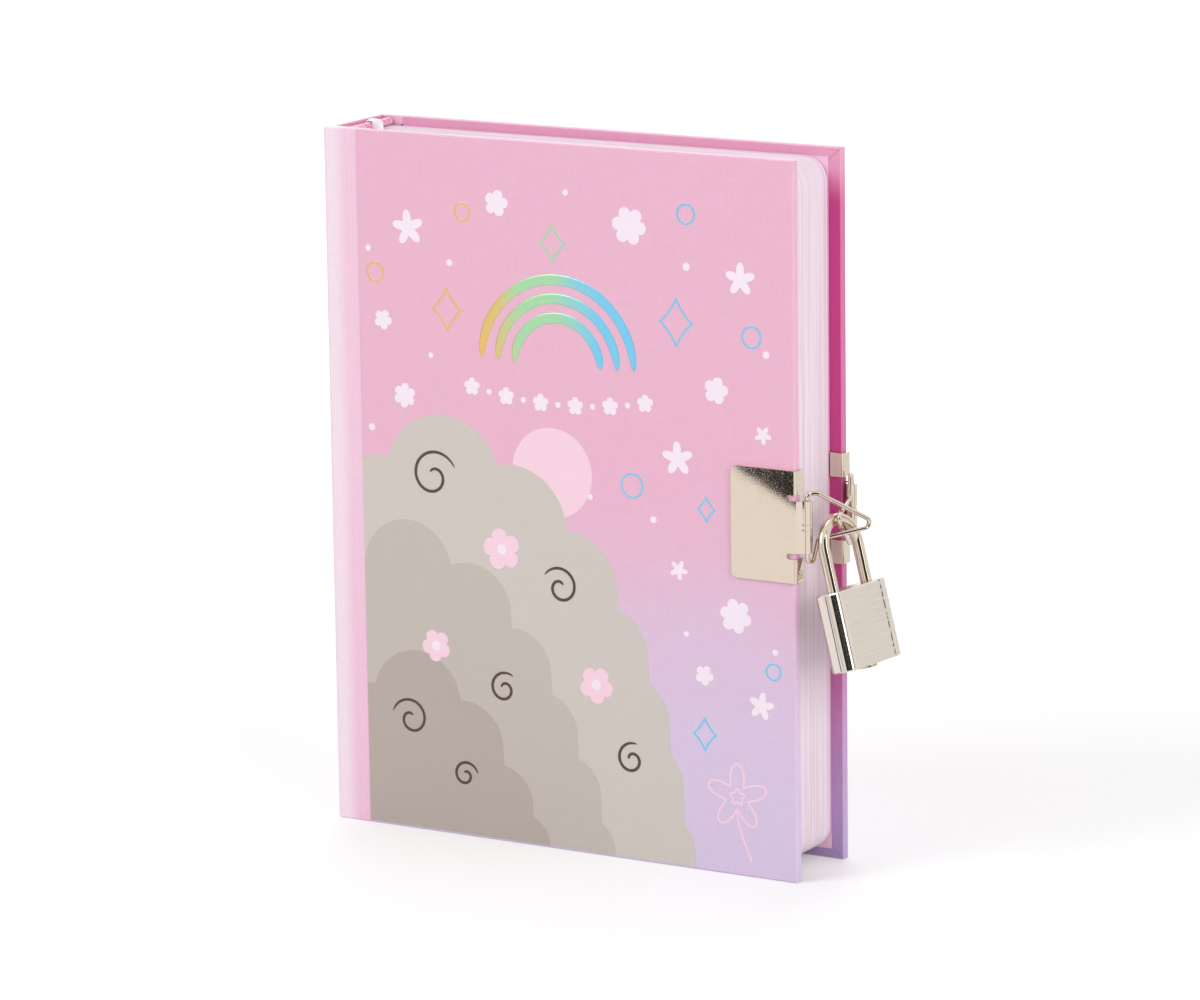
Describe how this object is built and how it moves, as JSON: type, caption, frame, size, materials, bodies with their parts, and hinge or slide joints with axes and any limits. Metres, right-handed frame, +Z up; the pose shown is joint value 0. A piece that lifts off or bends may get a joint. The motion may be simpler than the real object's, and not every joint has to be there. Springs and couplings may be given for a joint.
{
  "type": "diary with lock",
  "caption": "Hardback diary standing closed, with hinged covers, loose leaves, a nickel clasp plate and wire bail on each cover, and a small padlock through both bails.",
  "frame": {"origin": "middle of the spine wall's foot, on the surface the diary stands on", "axes": "+X from the spine to the fore-edge, -Y towards the front cover, +Z up towards the head"},
  "size_m": [0.1542, 0.0309, 0.18],
  "materials": {
    "board": "grey bookbinder's board",
    "cover_paper": "printed, fine linen grain, satin",
    "endpaper": "plain, matt",
    "page_paper": "uncoated, pale pink edges",
    "lining_cloth": "glued gauze and paper",
    "band_cloth": "woven satin band",
    "ribbon": "satin ribbon",
    "clasp_nickel": "nickel plated, bright",
    "shackle_chrome": "nickel plated, bright",
    "case_nickel": "nickel plated, finely brushed",
    "plug_brass": "turned",
    "pin_steel": "turned"
  },
  "bodies": {
    "book": {"spine_board": "board", "front_joint_strip": "board", "back_joint_strip": "board", "spine_wrap": "cover_paper", "spine_lining": "lining_cloth", "section_1": "page_paper", "section_2": "page_paper", "section_3": "page_paper", "section_4": "page_paper", "section_5": "page_paper", "section_6": "page_paper", "section_7": "page_paper", "section_8": "page_paper", "gutter_leaves": "page_paper", "back_flyleaf": "endpaper", "head_band": "band_cloth", "tail_band": "band_cloth", "ribbon_marker": "ribbon"},
    "front_cover": {"front_board": "board", "front_wrap": "cover_paper", "front_pastedown": "endpaper", "front_clasp_plate": "clasp_nickel"},
    "back_cover": {"back_board": "board", "back_wrap": "cover_paper", "back_pastedown": "endpaper", "back_clasp_plate": "clasp_nickel"},
    "leaves_2": {"leaf_group_2": "page_paper"},
    "leaves_1": {"leaf_group_1": "page_paper"},
    "front_flyleaf": {"front_flyleaf": "endpaper"},
    "front_bail": {"front_bail": "clasp_nickel"},
    "back_bail": {"back_bail": "clasp_nickel"},
    "shackle": {"shackle": "shackle_chrome"},
    "lock_case": {"lock_case": "case_nickel", "heel_pin": "pin_steel", "shackle_spring": "pin_steel", "driver_pin_1": "pin_steel", "driver_pin_2": "pin_steel", "driver_pin_3": "pin_steel", "pin_spring_1": "pin_steel", "pin_spring_2": "pin_steel", "pin_spring_3": "pin_steel", "chamber_plug_1": "pin_steel", "chamber_plug_2": "pin_steel", "chamber_plug_3": "pin_steel"},
    "latch": {"latch_bolt": "plug_brass"},
    "key_plug": {"key_plug": "plug_brass", "key_pin_1": "pin_steel", "key_pin_2": "pin_steel", "key_pin_3": "pin_steel"}
  },
  "joints": [
    {"name": "front_cover_open", "type": "hinge", "parent": "book", "child": "front_cover", "pos_m": [0.00725, -0.0135, 0], "axis": [0, 0, -1], "range_deg": [0, 170]},
    {"name": "back_cover_open", "type": "hinge", "parent": "book", "child": "back_cover", "pos_m": [0.00725, 0.0135, 0], "axis": [0, 0, 1], "range_deg": [0, 170]},
    {"name": "leaves_2_turn", "type": "hinge", "parent": "book", "child": "leaves_2", "pos_m": [0.0105, -0.0072, 0], "axis": [0, 0, -1], "range_deg": [0, 30]},
    {"name": "leaves_1_turn", "type": "hinge", "parent": "leaves_2", "child": "leaves_1", "pos_m": [0.0105, -0.0087, 0], "axis": [0, 0, -1], "range_deg": [0, 30]},
    {"name": "front_flyleaf_turn", "type": "hinge", "parent": "leaves_1", "child": "front_flyleaf", "pos_m": [0.0105, -0.0102, 0], "axis": [0, 0, -1], "range_deg": [0, 30]},
    {"name": "front_bail_swing", "type": "hinge", "parent": "front_cover", "child": "front_bail", "pos_m": [0.13605, -0.0116, 0.09], "axis": [0, 0, 1], "range_deg": [-0.6, 0.3]},
    {"name": "back_bail_swing", "type": "hinge", "parent": "back_cover", "child": "back_bail", "pos_m": [0.13605, 0.0116, 0.09], "axis": [0, 0, 1], "range_deg": [-0.2, 0.3]},
    {"name": "padlock_swing", "type": "hinge", "parent": "back_bail", "child": "shackle", "pos_m": [0.13936, -0.00343, 0.09072], "axis": [0.1203, 0.9927, 0], "range_deg": [-3, 0.5]},
    {"name": "case_drop", "type": "slide", "parent": "shackle", "child": "lock_case", "axis": [0.2561, -0.031, -0.9662], "range_m": [0, 0.0045]},
    {"name": "latch_slide", "type": "slide", "parent": "lock_case", "child": "latch", "axis": [0.1203, 0.9927, 0], "range_m": [0, 0.00473]},
    {"name": "key_turn", "type": "hinge", "parent": "lock_case", "child": "key_plug", "pos_m": [0.14871, -0.00457, 0.05547], "axis": [-0.2561, 0.031, 0.9662], "range_deg": [0, 90]}
  ],
  "couplings": [
    {"joint": "leaves_2_turn", "follows": "front_cover_open", "ratio": 0.17647},
    {"joint": "leaves_1_turn", "follows": "front_cover_open", "ratio": 0.17647},
    {"joint": "front_flyleaf_turn", "follows": "front_cover_open", "ratio": 0.17647},
    {"joint": "latch_slide", "follows": "case_drop", "ratio": 1.05},
    {"joint": "key_turn", "follows": "case_drop", "rad_per_m": 349}
  ]
}
